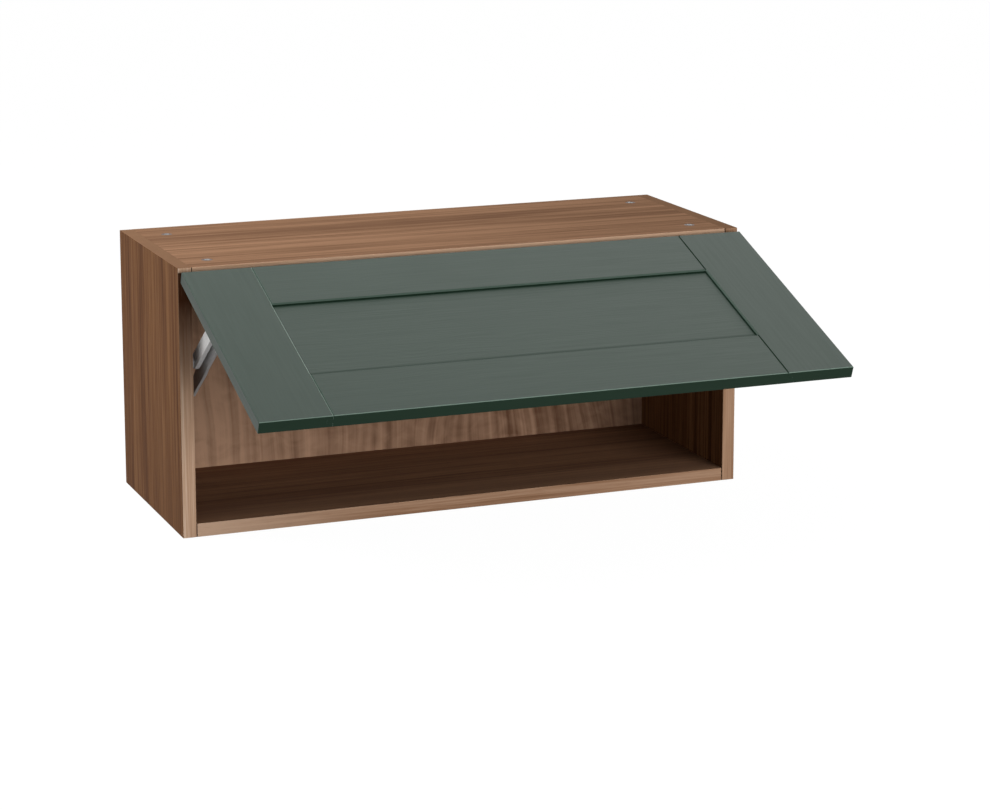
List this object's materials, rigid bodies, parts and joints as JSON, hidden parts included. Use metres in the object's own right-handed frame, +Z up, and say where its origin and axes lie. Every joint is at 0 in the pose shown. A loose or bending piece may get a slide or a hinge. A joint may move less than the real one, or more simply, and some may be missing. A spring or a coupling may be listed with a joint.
{
  "type": "wall cabinet",
  "caption": "Wide wall cabinet with a wood-look carcass and a framed green flap door that lifts on top hinges and side arms.",
  "frame": {"origin": "on the wall plane, at the middle of the cabinet's width and level with its underside", "axes": "+X to the viewer's right, +Y into the wall, -Y to the front, +Z up"},
  "size_m": [0.8, 0.6437, 0.36],
  "materials": {
    "carcass_board": "walnut-look melamine, satin",
    "edge_band": "lighter wood-look banding, satin",
    "back_board": "figured walnut-look, satin",
    "door_paint": "painted dark green over embossed grain, satin",
    "zinc_steel": "zinc plated",
    "white_paint": "white powder coat, satin",
    "grey_paint": "grey powder coat, satin",
    "drum_plastic": "grey moulded housing",
    "hanger_plastic": "off-white moulded",
    "cap_plastic": "brown moulded cap",
    "cam_zinc": "die-cast zinc, matt",
    "dowel_wood": "beech, plain",
    "soft_stop": "clear grey soft stop"
  },
  "bodies": {
    "cabinet": {"back_panel": "back_board", "bottom_panel": "carcass_board", "cam_bolts": "zinc_steel", "cam_locks_bottom": "cam_zinc", "cam_locks_top": "cam_zinc", "dowels": "dowel_wood", "edge_band_bottom": "edge_band", "edge_band_left": "edge_band", "edge_band_right": "edge_band", "edge_band_top": "edge_band", "hanger_body_left": "hanger_plastic", "hanger_body_right": "hanger_plastic", "hanger_caps": "cap_plastic", "hinge_arms": "zinc_steel", "hinge_plates": "zinc_steel", "lift_axle_left": "zinc_steel", "lift_axle_right": "zinc_steel", "lift_base_left": "zinc_steel", "lift_base_right": "zinc_steel", "lift_drum_left": "drum_plastic", "lift_drum_right": "drum_plastic", "side_left": "carcass_board", "side_right": "carcass_board", "top_panel": "carcass_board"},
    "flap": {"stile_left": "door_paint", "stile_right": "door_paint", "rail_top": "door_paint", "rail_bottom": "door_paint", "centre_panel": "door_paint", "hinge_cups": "zinc_steel", "lift_bracket_left": "zinc_steel", "lift_bracket_right": "zinc_steel", "bumpers": "soft_stop"},
    "hinge_links": {"hinge_links": "zinc_steel"},
    "lift_lever_left": {"lift_lever_left": "grey_paint"},
    "lift_arm_left": {"lift_arm_left": "white_paint", "lift_cheek_left": "grey_paint", "lift_pins_left": "zinc_steel"},
    "hanger_hook_left": {"hanger_hook_left": "zinc_steel"},
    "lift_lever_right": {"lift_lever_right": "grey_paint"},
    "lift_arm_right": {"lift_arm_right": "white_paint", "lift_cheek_right": "grey_paint", "lift_pins_right": "zinc_steel"},
    "hanger_hook_right": {"hanger_hook_right": "zinc_steel"}
  },
  "joints": [
    {"name": "flap_lift", "type": "hinge", "parent": "cabinet", "child": "flap", "pos_m": [0, -0.3143, 0.3527], "axis": [-1, 0, 0], "range_deg": [-70, 20]},
    {"name": "hinge_fold", "type": "hinge", "parent": "cabinet", "child": "hinge_links", "pos_m": [0, -0.3051, 0.3273], "axis": [1, 0, 0], "range_deg": [-38.5, 11]},
    {"name": "lever_swing_left", "type": "hinge", "parent": "cabinet", "child": "lift_lever_left", "pos_m": [-0.3776, -0.20781, 0.27814], "axis": [-1, 0, 0], "range_deg": [-70, 20]},
    {"name": "arm_pivot_left", "type": "hinge", "parent": "lift_lever_left", "child": "lift_arm_left", "pos_m": [-0.3776, -0.27128, 0.22943], "axis": [-1, 0, 0], "range_deg": [-20, 70]},
    {"name": "lever_swing_right", "type": "hinge", "parent": "cabinet", "child": "lift_lever_right", "pos_m": [0.3776, -0.20781, 0.27814], "axis": [-1, 0, 0], "range_deg": [-70, 20]},
    {"name": "arm_pivot_right", "type": "hinge", "parent": "lift_lever_right", "child": "lift_arm_right", "pos_m": [0.3776, -0.27128, 0.22943], "axis": [-1, 0, 0], "range_deg": [-20, 70]},
    {"name": "hook_height_left", "type": "slide", "parent": "cabinet", "child": "hanger_hook_left", "axis": [0, 0, 1], "range_m": [-0.004, 0.004]},
    {"name": "hook_height_right", "type": "slide", "parent": "cabinet", "child": "hanger_hook_right", "axis": [0, 0, 1], "range_m": [-0.004, 0.004]}
  ],
  "couplings": [
    {"joint": "hinge_fold", "follows": "flap_lift", "ratio": 0.55},
    {"joint": "lever_swing_left", "follows": "flap_lift", "ratio": 1},
    {"joint": "arm_pivot_left", "follows": "flap_lift", "ratio": -1},
    {"joint": "lever_swing_right", "follows": "flap_lift", "ratio": 1},
    {"joint": "arm_pivot_right", "follows": "flap_lift", "ratio": -1}
  ]
}
